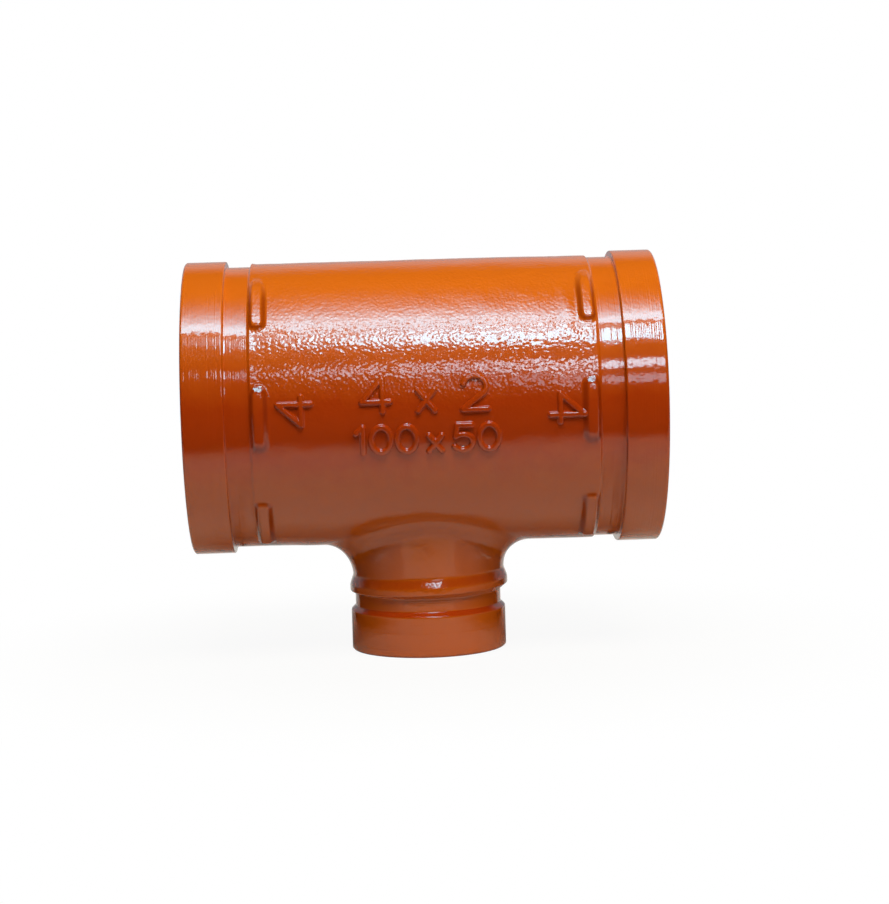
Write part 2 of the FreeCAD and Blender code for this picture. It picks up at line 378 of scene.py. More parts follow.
def casting_lift(x, phi, s):
    """Return how far the cast body stands out from its nominal radius.

    It adds the pads and how the casting lies against its machined ends. On top it is 0.35 mm
    high, less towards the right end, with a lip as high again at its left end. Underneath it is
    0.2 mm low, twice that at the left and not at all at the right, and 0.35 mm lower still near
    its left end. Both fade out towards the front and back, as the sine of the angle. A swell of
    0.35 mm lies beside the upper right pad.
    """
    up = np.sin(phi)
    top = 0.35 - 0.3 * smooth((x - 35) / 20) + 0.35 * np.exp(-((x + 65.4) / 1.5) ** 2)
    under = -0.2 + 0.2 * x / GROOVE_WALL - 0.35 * smooth((-40 - x) / 22)
    swell = 0.35 * np.exp(-((x - 54.5) / 2.6) ** 2 - ((phi - math.radians(42)) / 0.2) ** 2)
    lie = np.where(up > 0, top, under) * np.abs(up)
    return s["pad_height"] * pad_rise(x, phi, s) + lie + swell


def casting_waves(points):
    """Return the height of the unevenness that a sand mould leaves, in millimetres."""
    return (0.026 * ripple(points, 15, 24, 11) + 0.013 * ripple(points, 6.5, 32, 12)
            + 0.007 * ripple(points, 3.6, 40, 13))


def cast_surface(x, phi, s):
    """Return points of the cast run, with its pads and its unevenness."""
    points = on_run(x, phi, s["run_body"] + casting_lift(x, phi, s))
    outward = on_run(0, phi, 1.0)
    return points + outward * casting_waves(points)[..., None]


def whole_tube(phi, middle, along, out):
    """Return a grid along and around a tube, and the columns that its window takes up.

    Its right end has the profile given, its left end mirrors it, and the middle is even.
    """
    x = np.concatenate([-along[::-1], middle[1:-1], along])
    radius = np.concatenate([out[::-1], np.full(len(middle) - 2, out[0]), out])
    grid_phi, grid_x = np.meshgrid(phi, x, indexing="ij")
    first = len(along) - 1
    return grid_x, grid_phi, radius, slice(first, first + len(middle))


def saddle(run, branch, draft, ball, psi):
    """Return the centre line and the two contact lines of a ball that rounds a crossing.

    The ball touches a cylinder along X and a cone about Z, whose radius is given at the run's
    axis and shrinks downwards by its draft. Its centre lies on the cylinder and the cone that
    are wider by the ball's radius, so its height is the lower root of a quadratic.
    """
    run_out = run + ball
    spread = math.tan(draft)
    wide = branch + ball / math.cos(draft)
    share = np.sin(psi) ** 2
    half = wide * spread * share
    whole = 1 + spread ** 2 * share
    z = -(half + np.sqrt(half ** 2 + whole * (run_out ** 2 - wide ** 2 * share))) / whole
    out = wide + spread * z
    x, y = out * np.cos(psi), out * np.sin(psi)
    centre = np.stack([x, y, z], -1)
    on_run_line = np.stack([x, y * run / run_out, z * run / run_out], -1)
    touch = out - ball * math.cos(draft)
    on_branch_line = np.stack([touch * np.cos(psi), touch * np.sin(psi),
                               z + ball * math.sin(draft)], -1)
    return centre, on_run_line, on_branch_line


def saddle_arc(centre, first, last, ball, rows):
    """Return rows of points on the ball from the first contact to the last, evenly turned.

    With them comes the way from the ball's centre to each, which leads into the iron outside
    and into the passage inside.
    """
    a, b = (first - centre) / ball, (last - centre) / ball
    opening = np.arccos(np.clip((a * b).sum(-1), -1, 1))[..., None]
    t = np.linspace(0, 1, rows + 1)[:, None, None]
    swung = (np.sin((1 - t) * opening) * a + np.sin(t * opening) * b) / np.sin(opening)
    return centre + ball * swung, swung


def lead_to(line, rim_x, rim_phi, radius, t):
    """Return x and angle of the points that lie a share t of the way from rim to line."""
    end_phi = -math.pi / 2 + np.arcsin(-line[:, 1] / radius)
    return rim_x + (line[:, 0] - rim_x) * t, rim_phi + (end_phi - rim_phi) * t


def loop_angles(points):
    """Return the angle about the branch of each point of a loop, evened out by half."""
    turned = np.unwrap(np.arctan2(points[:, 1], points[:, 0]))
    even = -np.arange(len(points)) * 2 * np.pi / len(points)
    return (turned + even + (turned - even).mean()) / 2


def run_lines(s):
    """Return the angles of the lines around the run and how many of them, which come first,
    cross the window, and the places of the lines along the window."""
    flanks = [(s["pad_length"] / 2 - inset) / s["run_body"] for inset in (-1.3, 0.2, 2.0)]
    pad_ends = [PAD_TURN + a + side * flank for a in pad_angles(s)
                for side in (-1, 1) for flank in flanks]
    pad_ends += [a - 2 * math.pi for a in pad_ends]
    low, high = -math.pi / 2 - WINDOW_ANGLE, -math.pi / 2 + WINDOW_ANGLE
    step = 1 / s["run_body"]
    near, far = (graded(start, end, pad_ends, 0.5 * step, 1.3 * step, 0.6, even=True)
                 for start, end in ((low, high), (high, low + 2 * math.pi)))
    middle = np.linspace(-WINDOW_X, WINDOW_X, 2 * round(WINDOW_X / 1.25) + 1)
    return np.concatenate([near, far[1:-1]]), len(near), middle


def build_run(shell, s, phi, rows, middle):
    """Add the outside of the run: its cast body with the pads, and its machined ends.

    The profile's last corner lies on the end face. Return the ids of the grid, and the ids,
    places along, angles and points of the window's rim.
    """
    reach, seat, floor = s["run_reach"], s["run_seat"], s["run_floor"]
    corners = [(WINDOW_X, floor),
               (reach - SEAT_WIDTH, floor, GROOVE_ROUND),
               (reach - SEAT_WIDTH, seat, GROOVE_ROUND),
               (reach - CHAMFER, seat, EDGE_ROUND),
               (reach, seat - CHAMFER, EDGE_ROUND),
               (reach, seat - 1.6)]
    holds = [GROOVE_WALL - WINDOW_X + d for d in (-WALL_SOFTNESS / 2, WALL_SOFTNESS / 2)]
    holds += [place - WINDOW_X for place in (PAD_FOOT, PAD_FOOT + PAD_INNER,
                                             GROOVE_WALL - PAD_OUTER)]
    walk, along, out = walk_profile(corners, 0.2, 1.35, 0.6, holds)
    grid_x, grid_phi, radius, columns = whole_tube(phi, middle, along, out)
    feed = np.concatenate([-walk[::-1] - WINDOW_X, middle[1:-1], walk + WINDOW_X])
    x = grid_x[0]
    cast = 1 - smooth((np.abs(x) - (GROOVE_WALL - WALL_SOFTNESS / 2)) / WALL_SOFTNESS)
    machined = on_run(grid_x, grid_phi, radius)
    places = machined + (cast_surface(grid_x, grid_phi, s) - machined) * cast[:, None]
    # Painted shade on the pads' slopes, though not where they lie nearly level on top
    rise = pad_rise(grid_x, grid_phi, s)
    painted_pad_shade = 4 * rise * (1 - rise) * smooth((0.88 - np.sin(grid_phi)) / 0.14)
    ids = shell.add(places, np.stack(np.broadcast_arrays(painted_pad_shade, feed), -1))
    centres = (np.abs(x[1:]) + np.abs(x[:-1])) / 2
    shell.wrap(ids, np.where(centres < GROOVE_WALL, CAST, TURNED)[None], rows, columns)
    return ids, [window_loop(grid[:rows, columns]) for grid in (ids, grid_x, grid_phi, places)]


def build_branch(shell, s, window, rim_x, rim_phi, rim_points):
    """Add the outside of the branch, in rings that run clockwise seen from above.

    They lead over the run to the saddle, round its ball, down the straight neck, and along the
    bead, groove, seat and end face. Return the last ring's ids and the angles of its points.
    """
    psi = loop_angles(rim_points)
    reach = s["branch_reach"]
    groove = reach - SEAT_WIDTH - BRANCH_GROOVE
    foot = groove - BEAD_WIDTH
    spread = math.tan(s["neck_draft"])
    aside = np.array([NECK_ASIDE, 0, 0])

    def leaning(depth):
        """Return the share of the bead's tilt, which sets in from 12 to 2 mm above the foot."""
        return smooth((depth - foot + 12) / 10)

    centre, upper, lower = saddle(s["run_body"], s["branch_neck"] + foot * spread,
                                  s["neck_draft"], s["saddle_round"], psi)
    patch = cast_surface(*lead_to(upper, rim_x, rim_phi, s["run_body"],
                                  np.linspace(0, 1, 13)[1:, None]), s)
    flare, inward = (rows[1:] for rows in saddle_arc(centre, upper, lower,
                                                     s["saddle_round"], 15))
    fade = np.linspace(1, 0, 16)[1:, None, None]
    flare_phi = np.arctan2(flare[..., 2], -flare[..., 1])
    lift = casting_lift(flare[..., 0], flare_phi, s)[..., None] * on_run(0, flare_phi, 1.0)
    sideways = flare[..., :1] * leaning(-flare[..., 2:])
    flare = flare + lift * fade + aside * (1 - fade) + BEAD_TILT * sideways * [0, 0, 1]
    flare = flare + inward * casting_waves(flare)[..., None] * np.minimum(1, 0.4 + fade)

    corners = [(foot - 0.7, s["branch_neck"] + 0.7 * spread),
               (foot, s["branch_neck"], 3.0),
               (groove - 2.4, s["bead"], 4.0),
               (groove, s["bead"], 0.5),
               (groove + GROOVE_SIDE, s["branch_floor"], 0.4),
               (reach - SEAT_WIDTH - GROOVE_SIDE, s["branch_floor"], 0.6),
               (reach - SEAT_WIDTH, s["branch_seat"], 1.0),
               (reach - CHAMFER, s["branch_seat"], EDGE_ROUND),
               (reach, s["branch_seat"] - CHAMFER, EDGE_ROUND),
               (reach, s["branch_seat"] - 1.5)]
    walk, down, out = walk_profile(corners, 0.2, 1.0, 0.5)
    t = np.linspace(0, 1, 10)[1:-1, None]
    neck = -lower[:, 2] * (1 - t) + down[0] * t
    depth = np.concatenate([neck, np.tile(down[:, None], len(psi))])
    radius = np.concatenate([s["branch_neck"] + (foot - neck) * spread,
                             np.tile(out[:, None], len(psi))])
    rough = np.concatenate([np.ones(len(neck)),
                            1 - smooth((down - (groove + 0.2)) / GROOVE_SIDE)])
    rings = np.stack([radius * np.cos(psi), radius * np.sin(psi), -depth], -1)
    outward = np.stack([np.cos(psi), np.sin(psi), 0 * psi], -1)
    tilt = BEAD_TILT * radius * np.cos(psi) * leaning(depth)
    rings = rings + rough[:, None, None] * (
        aside + tilt[..., None] * np.array([0, 0, 1])
        + outward * 0.8 * casting_waves(rings)[..., None])

    above = len(patch) + len(flare)
    cast = np.concatenate([np.ones(above), rough])
    feed = np.concatenate([np.zeros(above + len(neck)), walk + FEED_APART])
    ids = shell.add(np.concatenate([patch, flare, rings]),
                    np.stack([0 * feed, feed], -1)[:, None])
    shell.sleeve(np.vstack([window, ids]), np.where(cast > 0.5, CAST, TURNED)[:, None])
    return ids[-1], psi


def build_inside(shell, s, phi, rows, middle, psi):
    """Add the two passages. Return the ids of the run's grid and of the branch's mouth."""
    corners = [(WINDOW_X, s["run_bore"]), (s["run_reach"], s["run_bore"], MOUTH_ROUND),
               (s["run_reach"], s["run_bore"] + 1.2)]
    _, along, out = walk_profile(corners, 0.25, 4.5, 0.5)
    grid_x, grid_phi, radius, columns = whole_tube(phi, middle, along, out)
    places = on_run(grid_x, grid_phi, radius)
    # The unevenness fades out from 80 to 89 mm, towards the cleaned ends
    uneven = casting_waves(places) * (1 - smooth((np.abs(grid_x[0]) - 80) / 9))
    places = places - on_run(0, phi, 1.0)[:, None] * uneven[..., None]
    ids = shell.add(places, (0.0, 0.0))
    shell.wrap(ids, CAST, rows, columns, inside_out=True)
    window, rim_x, rim_phi = (window_loop(grid[:rows, columns])
                              for grid in (ids, grid_x, grid_phi))

    centre, upper, lower = saddle(s["run_bore"], s["branch_bore"], 0, s["corner_round"], psi)
    patch = on_run(*lead_to(upper, rim_x, rim_phi, s["run_bore"],
                            np.linspace(1, 0, 9)[:-1, None]), s["run_bore"])
    corner, _ = saddle_arc(centre, lower, upper, s["corner_round"], 5)
    bend = np.linspace(0, math.pi / 2, 4)[1:]
    low = np.append(s["branch_reach"], s["branch_reach"] - MOUTH_ROUND * (1 - np.cos(bend)))
    out = np.append(s["branch_bore"] + 1.0, s["branch_bore"] + MOUTH_ROUND * (1 - np.sin(bend)))
    t = np.linspace(0, 1, 9)[1:-1, None]
    rise = low[-1] + (-lower[:, 2] - low[-1]) * t
    depth = np.vstack([np.tile(low[:, None], len(psi)), rise])
    out = np.append(out, np.full(len(rise), s["branch_bore"]))[:, None]
    bore = np.stack([out * np.cos(psi), out * np.sin(psi), -depth], -1)
    chain = shell.add(np.concatenate([bore, corner, patch[1:]]), (0.0, 0.0))
    shell.sleeve(np.vstack([chain, window]), CAST)
    return ids, chain[0]


def build_casting(s):
    """Return the whole skin of the casting: outside, inside, and the end faces between them.

    The inside has half as many lines as the outside.
    """
    shell = Shell()
    phi, rows, middle = run_lines(s)
    outer, rim = build_run(shell, s, phi, rows, middle)
    branch_end, psi = build_branch(shell, s, *rim)
    inner, branch_mouth = build_inside(shell, s, phi[::2], (rows + 1) // 2, middle[::2],
                                       psi[::2])
    shell.halve(outer[:, -1], inner[:, -1], TURNED, inside_out=True)
    shell.halve(outer[:, 0], inner[:, 0], TURNED)
    shell.halve(branch_end, branch_mouth, TURNED)
    return shell


# The numerals: text, height, gap, and the middle's length and angle and the turn in degrees
NUMERALS = (("4 x 2", 12.4, 5.2, -0.3, 6.5, 0), ("100 x 50", 9.6, 2.3, 0.3, -10.8, 0),
            ("4", 12.4, 0, -48.8, 1.4, 90), ("4", 12.4, 0, 52.6, -0.4, -90))
GRID_STEP = 0.24                    # fineness of the numerals' grid
STROKE_HALF = 0.95                  # half of a stroke's width at half its height
FOOT_SINK = 0.07                    # how far the figures' feet run out under the body's surface
FOOT_ROOM = 2.6                     # room for the feet around each line of figures
FOOT_EDGE = -0.03                   # height at which the feet are cut off
ROOT_DEPTH = 0.5                    # how deep the figures' undersides lie in the body


def arc(middle, radii, start, end, count):
    """Return points of an elliptical arc between two angles in degrees."""
    turn = np.radians(np.linspace(start, end, count))
    return np.stack([middle[0] + radii[0] * np.cos(turn),
                     middle[1] + radii[1] * np.sin(turn)], -1)


# The strokes of each plain figure, one unit tall, and its width
FIGURES = {
    "0": ([arc((0.38, 0.5), (0.38, 0.5), 0, 360, 41)], 0.76),
    "1": ([[(0.02, 0.78), (0.28, 1.0), (0.28, 0.0)]], 0.36),
    "2": ([[*arc((0.37, 0.68), (0.35, 0.32), 165, -38, 19), (0.0, 0.0), (0.76, 0.0)]], 0.76),
    "4": ([[(0.62, 0.0), (0.62, 1.0), (0.0, 0.3), (0.84, 0.3)]], 0.84),
    "5": ([[(0.68, 1.0), (0.12, 1.0), (0.06, 0.55),
            *arc((0.34, 0.32), (0.38, 0.32), 118, -150, 23)]], 0.74),
    "x": ([[(0.0, 0.0), (0.5, 0.62)], [(0.0, 0.62), (0.5, 0.0)]], 0.5),
}


def set_line(text, height, gap, middle, turn):
    """Return the strokes of a line of figures, in millimetres on the unrolled body."""
    strokes, across = [], 0.0
    for name in text:
        if name == " ":
            across += gap
            continue
        parts, width = FIGURES[name]
        strokes += [np.array(part) * height + (across, 0) for part in parts]
        across += width * height + gap
    centre = np.array([(across - gap) / 2, height / 2])
    c, sn = math.cos(turn), math.sin(turn)
    spin = np.array([[c, sn], [-sn, c]])
    return [(part - centre) @ spin + middle for part in strokes]


def stroke_distance(points, stroke):
    """Return the distance from each point to the nearest place on a stroke."""
    nearest = np.full(points.shape[:-1], np.inf)
    for start, end in zip(stroke[:-1], stroke[1:]):
        along = end - start
        t = np.clip(((points - start) @ along) / (along @ along), 0, 1)[..., None]
        nearest = np.minimum(nearest, np.linalg.norm(points - start - along * t, axis=-1))
    return nearest


def build_numerals(s):
    """Return a closed skin for the raised figures.

    On a fine grid over the unrolled body, the height at each place falls with the tenth power
    of its distance from the nearest stroke, so the figures have flat tops and flared feet.
    Where it falls under the body's surface the grid is cut away, and the rest gets an
    underside half a millimetre inside the body.
    """
    radius = s["run_body"]
    places, faces, count = [], [], 0
    for text, tall, gap, x, degrees, turn in NUMERALS:
        strokes = set_line(text, tall, gap, (x, math.radians(degrees) * radius),
                           math.radians(turn))
        every = np.vstack(strokes)
        low, high = every.min(0) - FOOT_ROOM, every.max(0) + FOOT_ROOM
        grid = np.stack(np.meshgrid(np.arange(low[0], high[0], GRID_STEP),
                                    np.arange(low[1], high[1], GRID_STEP)), -1)
        distance = np.min([stroke_distance(grid, stroke) for stroke in strokes], axis=0)
        height = s["numeral_rise"] / (1 + (distance / STROKE_HALF) ** 10) - FOOT_SINK
        body = cast_surface(grid[..., 0], grid[..., 1] / radius, s)
        outward = on_run(0, grid[..., 1] / radius, 1.0)
        top = body + outward * height[..., None]
        under = body - outward * ROOT_DEPTH
        ids = count + np.arange(height.size).reshape(height.shape)
        places += [top.reshape(-1, 3), under.reshape(-1, 3)]
        count += 2 * height.size
        keep = np.any(cell_corners(height > FOOT_EDGE), axis=0)
        # Cells that touch at a corner alone get their neighbours, so that the skin stays one
        for _ in range(4):
            nw, ne, sw, se = keep[:-1, :-1], keep[:-1, 1:], keep[1:, :-1], keep[1:, 1:]
            falling, rising = nw & se & ~ne & ~sw, ne & sw & ~nw & ~se
            ne |= falling
            nw |= rising
        a, b, c, d = cell_corners(ids)
        faces.append(np.stack([a, b, c, d], -1)[keep])
        faces.append(np.stack([a, d, c, b], -1)[keep] + height.size)
        # Walls stand along each edge that only one kept face has
        padded = np.pad(keep, 1)
        for open_side, first, second in ((padded[:-2, 1:-1], a, b), (padded[1:-1, 2:], b, c),
                                         (padded[2:, 1:-1], c, d), (padded[1:-1, :-2], d, a)):
            rim = keep & ~open_side
            p, q = first[rim], second[rim]
            faces.append(np.stack([q, p, p + height.size, q + height.size], -1))
    return np.concatenate(places), faces


# The materials

def add_node(tree, kind, inputs=None, **settings):
    """Add a shader node with its settings, and set or link its inputs by name or number.

    A node given as an input is linked by its first output.
    """
    node = tree.nodes.new("ShaderNode" + kind)
    for name, setting in settings.items():
        setattr(node, name, setting)
    for name, source in (inputs or {}).items():
        if isinstance(source, bpy.types.Node):
            source = source.outputs[0]
        if isinstance(source, bpy.types.NodeSocket):
            tree.links.new(source, node.inputs[name])
        else:
            node.inputs[name].default_value = source
    return node


def calc(tree, operation, *values, clamp=False):
    """Return what one of Blender's maths operations makes of two or three values."""
    return add_node(tree, "Math", dict(enumerate(values)), operation=operation, use_clamp=clamp)


def ramp(tree, value, start, end, low=0.0, high=1.0, curve="SMOOTHSTEP"):
    """Return a value that goes from low to high while the given one goes from start to end."""
    return add_node(tree, "MapRange", {"Value": value, "From Min": start, "From Max": end,
                                       "To Min": low, "To Max": high}, interpolation_type=curve)


def new_material(name):
    """Return an empty material and its node tree."""
    material = bpy.data.materials.new(name)
    material.use_nodes = True
    material.node_tree.nodes.clear()
    return material, material.node_tree


def shine(tree, strength, tint=(1, 1, 1)):
    """Make a material glow."""
    glow = add_node(tree, "Emission", {"Color": [*tint, 1], "Strength": strength})
    add_node(tree, "OutputMaterial", {"Surface": glow})


def per_mm(millimetres):
    """Return the noise scale, on coordinates in metres, whose grain has this size."""
    return 1 / (millimetres * MM)


def object_place(tree):
    """Return the place on the object, and its parts by the names X, Y and Z."""
    spot = add_node(tree, "TexCoord").outputs["Object"]
    return spot, add_node(tree, "SeparateXYZ", {0: spot}).outputs


def enamel_colour(tree, finish):
    """Return the enamel's colour.

    It is painted light and shade: lighter and yellower on top, where the lamps above fall, darker
    and redder lower down, a yellower brown on low faces that do not look up for a painted
    reflection of the pale floor, and darkest on the pads' slopes for painted shade.
    """
    spot, parts = object_place(tree)
    facing = add_node(tree, "SeparateXYZ", {0: add_node(tree, "TexCoord").outputs["Normal"]})
    uneven = add_node(tree, "TexNoise", {
        "Vector": spot, "Scale": per_mm(12), "Detail": 3.0, "Roughness": 0.6})
    # The noise moves the borders up and down by some millimetres
    height = calc(tree, "MULTIPLY_ADD", uneven, 14 * MM, parts["Z"])
    # Painted light: the share of the lighter top colour grows with height
    high = ramp(tree, height, 9 * MM, 53 * MM, curve="LINEAR")
    # Painted reflection of the floor: low down, on faces that do not look up
    low = ramp(tree, height, -26 * MM, -2 * MM, 1.0, 0.0)
    upright = ramp(tree, facing.outputs["Z"], 0.1, 0.5, 1.0, 0.0)
    floor_reflection_share = calc(tree, "MULTIPLY", low, upright)
    # Painted shade on the pads' slopes, at three quarters of its mask
    pad_shade_mask = add_node(tree, "Attribute", attribute_name="painted_pad_shade").outputs["Fac"]
    pad_shade_share = calc(tree, "MULTIPLY", pad_shade_mask, 0.75)
    paint = [*finish.enamel_painted_shade, 1]
    for share, coat in ((floor_reflection_share, finish.enamel_painted_floor_reflection), (high, finish.enamel),
                        (pad_shade_share, finish.enamel_painted_pad_shade)):
        mixed = add_node(tree, "Mix", {0: share, 6: paint, 7: [*coat, 1]}, data_type="RGBA")
        paint = mixed.outputs[2]
    return paint


def gloss_enamel(tree, finish, roughness, bump):
    """Give a material the look of the enamel, over a bump."""
    skin = add_node(tree, "BsdfPrincipled", {
        "Base Color": enamel_colour(tree, finish), "Roughness": roughness, "IOR": 1.56,
        "Normal": bump})
    add_node(tree, "OutputMaterial", {"Surface": skin})


def enamel_over_casting(finish):
    """Gloss enamel dipped over ductile iron as it leaves a sand mould.

    The paint levels into a clear gloss but still follows the sand: grains of 1 to 2 mm that
    break up each highlight, and a softer orange peel of 5 mm. Lower down, where the paint ran
    and lies thicker, the sand shows much less, but it shows again on the branch's bead.
    """
    material, tree = new_material("gloss_enamel_over_sand_casting")
    spot, parts = object_place(tree)
    warp = add_node(tree, "TexNoise", {"Vector": spot, "Scale": per_mm(2.2), "Detail": 1.0})
    nudge = add_node(tree, "VectorMath", {0: warp.outputs["Color"], "Scale": 1.1 * MM},
                     operation="SCALE")
    nudged = add_node(tree, "VectorMath", {0: spot, 1: nudge}, operation="ADD")
    grains = add_node(tree, "TexVoronoi", {
        "Vector": nudged, "Scale": per_mm(1.25), "Smoothness": 0.8}, feature="SMOOTH_F1")
    sand = calc(tree, "MULTIPLY", grains, -1.0)
    peel = add_node(tree, "TexNoise", {
        "Vector": spot, "Scale": per_mm(5), "Detail": 1.0, "Roughness": 0.4})
    bare = ramp(tree, parts["Z"], -12 * MM, 16 * MM, 0.3)
    bead = ramp(tree, parts["Z"], -69 * MM, -66 * MM, 0.9, 0.0, curve="LINEAR")
    grain = calc(tree, "MULTIPLY", sand, calc(tree, "MAXIMUM", bare, bead))
    height = calc(tree, "MULTIPLY_ADD", peel, 0.4, grain)
    bump = add_node(tree, "Bump", {"Strength": 1.0, "Distance": 0.095 * MM, "Height": height})
    gloss_enamel(tree, finish, 0.11, bump)
    return material


def enamel_over_turning(finish):
    """Gloss enamel over seats and grooves cut on a lathe.

    The same paint lies smooth here. The tool's feed still shows through it as fine rings, and
    where the paint ran, a highlight's edge wavers a little.
    """
    material, tree = new_material("gloss_enamel_over_turned_iron")
    spot = add_node(tree, "TexCoord").outputs["Object"]
    feed = add_node(tree, "Attribute", attribute_name="feed").outputs["Fac"]
    rings = add_node(tree, "TexNoise", {"W": feed, "Scale": per_mm(0.55), "Detail": 0.0},
                     noise_dimensions="1D")
    runs = add_node(tree, "TexNoise", {
        "Vector": spot, "Scale": per_mm(2.6), "Detail": 1.0, "Roughness": 0.9})
    ring_bump = add_node(tree, "Bump", {
        "Strength": 1.0, "Distance": 0.026 * MM, "Height": rings})
    bump = add_node(tree, "Bump", {
        "Strength": 1.0, "Distance": 0.055 * MM, "Height": runs, "Normal": ring_bump})
    gloss_enamel(tree, finish, 0.09, bump)
    return material


def seen_white(tree, mirrored=1.0):
    """Return a value that is 1 for the camera, and as high as given for what mirrors it."""
    path = add_node(tree, "LightPath").outputs
    either = calc(tree, "MAXIMUM", path["Is Glossy Ray"], path["Is Transmission Ray"])
    dimmed = calc(tree, "MULTIPLY", either, mirrored)
    return calc(tree, "MAXIMUM", path["Is Camera Ray"], dimmed)


def front_grey(tree, y):
    """Return how grey the gloss mirrors the paper in front: dark in the object's shade."""
    return ramp(tree, y, -0.055, 0.0, 0.42, 0.05)


def white_paper():
    """Matt white paper of the studio floor, which glows white where the object casts no shade.

    The gloss mirrors it grey, and dark in the shade under and behind the object.
    """
    material, tree = new_material("matt_white_paper")
    spot, parts = object_place(tree)
    away = add_node(tree, "VectorMath", {0: spot}, operation="LENGTH").outputs["Value"]
    far = ramp(tree, away, 0.1, 0.24, 0.93)
    back = ramp(tree, parts["Y"], 0.02, 0.15, 0.05, 0.45)
    mirrored = calc(tree, "MAXIMUM", front_grey(tree, parts["Y"]), back)
    share = calc(tree, "MULTIPLY", far, seen_white(tree, mirrored))
    paper = add_node(tree, "BsdfDiffuse", {"Color": [0.565, 0.555, 0.465, 1]})
    glow = add_node(tree, "Emission", {"Strength": 1.0})
    add_node(tree, "OutputMaterial", {
        "Surface": add_node(tree, "MixShader", {0: share, 1: paper, 2: glow})})
    return material


def fading_paper():
    """The paper as the gloss mirrors it in front: it fades into the dark of the room.

    The border runs a little askew, nearer to the object on the left.
    """
    material, tree = new_material("paper_fading_into_the_dark")
    _, parts = object_place(tree)
    near = calc(tree, "MULTIPLY_ADD", parts["X"], 0.094, parts["Y"])
    shine(tree, ramp(tree, near, -0.227, -0.164, 0.012, 0.8), (1.0, 0.95, 0.75))
    return material


def card_of_painted_shade(floor):
    """Black card, seen in the gloss alone, that puts a painted shade into the reflection on a
    glossy side.

    At its near end and along its top it is as grey as the paper that the gloss mirrors around
    it, so that no edge of it shows.
    """
    material, tree = new_material("painted_shade_card_seen_in_gloss")
    _, parts = object_place(tree)
    near = ramp(tree, parts["Y"], -0.11, -0.02)
    low = ramp(tree, parts["Z"], floor + 0.004, floor + 0.025, 1.0, 0.0)
    left = calc(tree, "SUBTRACT", 1.0, calc(tree, "MULTIPLY", near, low))
    shine(tree, calc(tree, "MULTIPLY", front_grey(tree, parts["Y"]), left))
    return material


def dim_room():
    """What the gloss mirrors: a dark room in front, and grey paper low down behind."""
    material, tree = new_material("dim_studio_room")
    spot, _ = object_place(tree)
    way = add_node(tree, "VectorMath", {0: spot}, operation="NORMALIZE")
    parts = add_node(tree, "SeparateXYZ", {0: way}).outputs
    behind = ramp(tree, parts["Y"], 0.3, 0.62)
    low = ramp(tree, parts["Z"], 0.5, 0.75, 1.0, 0.0)
    paper = calc(tree, "MULTIPLY", behind, low)
    level = ramp(tree, paper, 0.0, 1.0, 0.012, 0.45, curve="LINEAR")
    shine(tree, level, (0.92, 0.95, 1.0))
    return material


def softbox_cloth(strength):
    """White cloth of a softbox, brightest along its front edge and fading to the back.

    It fades sooner at its sides: the share left is 1 less the way back from the front edge,
    times 0.93 plus 10.4 times the square of the way sideways from the middle, and the glow
    falls with its power of 4.6.
    """
    material, tree = new_material("softbox_cloth")
    _, parts = object_place(tree)
    back = calc(tree, "ADD", parts["Y"], 0.45, clamp=True)
    aside = calc(tree, "ADD", parts["X"], 0.022)
    square = calc(tree, "MULTIPLY", aside, aside)
    steep = calc(tree, "MULTIPLY_ADD", square, 10.4, 0.93)
    left = calc(tree, "SUBTRACT", 1.0, calc(tree, "MULTIPLY", back, steep), clamp=True)
    fall = calc(tree, "POWER", left, 4.6)
    shine(tree, calc(tree, "MULTIPLY", fall, strength), COOL)
    return material


# The studio, in metres

COOL = (0.29, 0.8, 1.0)             # the softbox and the upper panes, as the gloss mirrors them
PALE = (0.5, 0.84, 1.0)             # the lower panes
WARM = (1.0, 0.97, 0.93)            # the lamps that light the paint itself
# Panes of the window at the front: edges in x and z, tint, and share of the window's glow
PANES = {"window_top_left": ((-0.30, -0.06), (1.5, 2.0), COOL, 0.16),
         "window_top_middle": ((-0.06, 0.12), (1.36, 2.0), COOL, 1.4),
         "window_top_right": ((0.12, 0.36), (1.25, 2.0), COOL, 1.45),
         "window_middle_left": ((-0.10, 0.13), (0.56, 0.69), PALE, 0.55),
         "window_middle_right": ((0.13, 0.36), (0.56, 0.69), PALE, 0.95),
         "window_low_right": ((0.08, 0.36), (0.28, 0.40), PALE, 0.27)}
PANES_Y = -1.15                     # where they hang
# Lamps that light the paint: place, size and radiance
LAMPS = {"key_light": ((0.13, -0.66, 0.96), (0.8, 0.5), 13.2),
         "top_fill": ((0, 0.4, 1.2), (0.8, 0.5), 2.4),
         "right_fill": ((1.1, -0.5, 0.1), (0.6, 0.6), 1.8),
         "back_fill": ((-0.3, 1.4, 0.5), (1.0, 0.8), 2.4)}


def flat_sheet(x, y, z, count=2):
    """Return a level rectangle as a grid: x and y run evenly between their two ends."""
    across, along = np.meshgrid(np.linspace(*x, count), np.linspace(*y, count))
    return np.stack([across, along, np.full_like(across, z)], -1)


def stage_sheet(name, places, material, in_gloss_alone=True):
    """Make a stage object from a grid of places."""
    ids = np.arange(places[..., 0].size).reshape(places.shape[:2])
    faces = np.stack(cell_corners(ids), -1).reshape(-1, 4)
    sheet = place_mesh(name, places.reshape(-1, 3), [faces], [material])
    if in_gloss_alone:
        sheet.visible_camera = sheet.visible_diffuse = sheet.visible_shadow = False


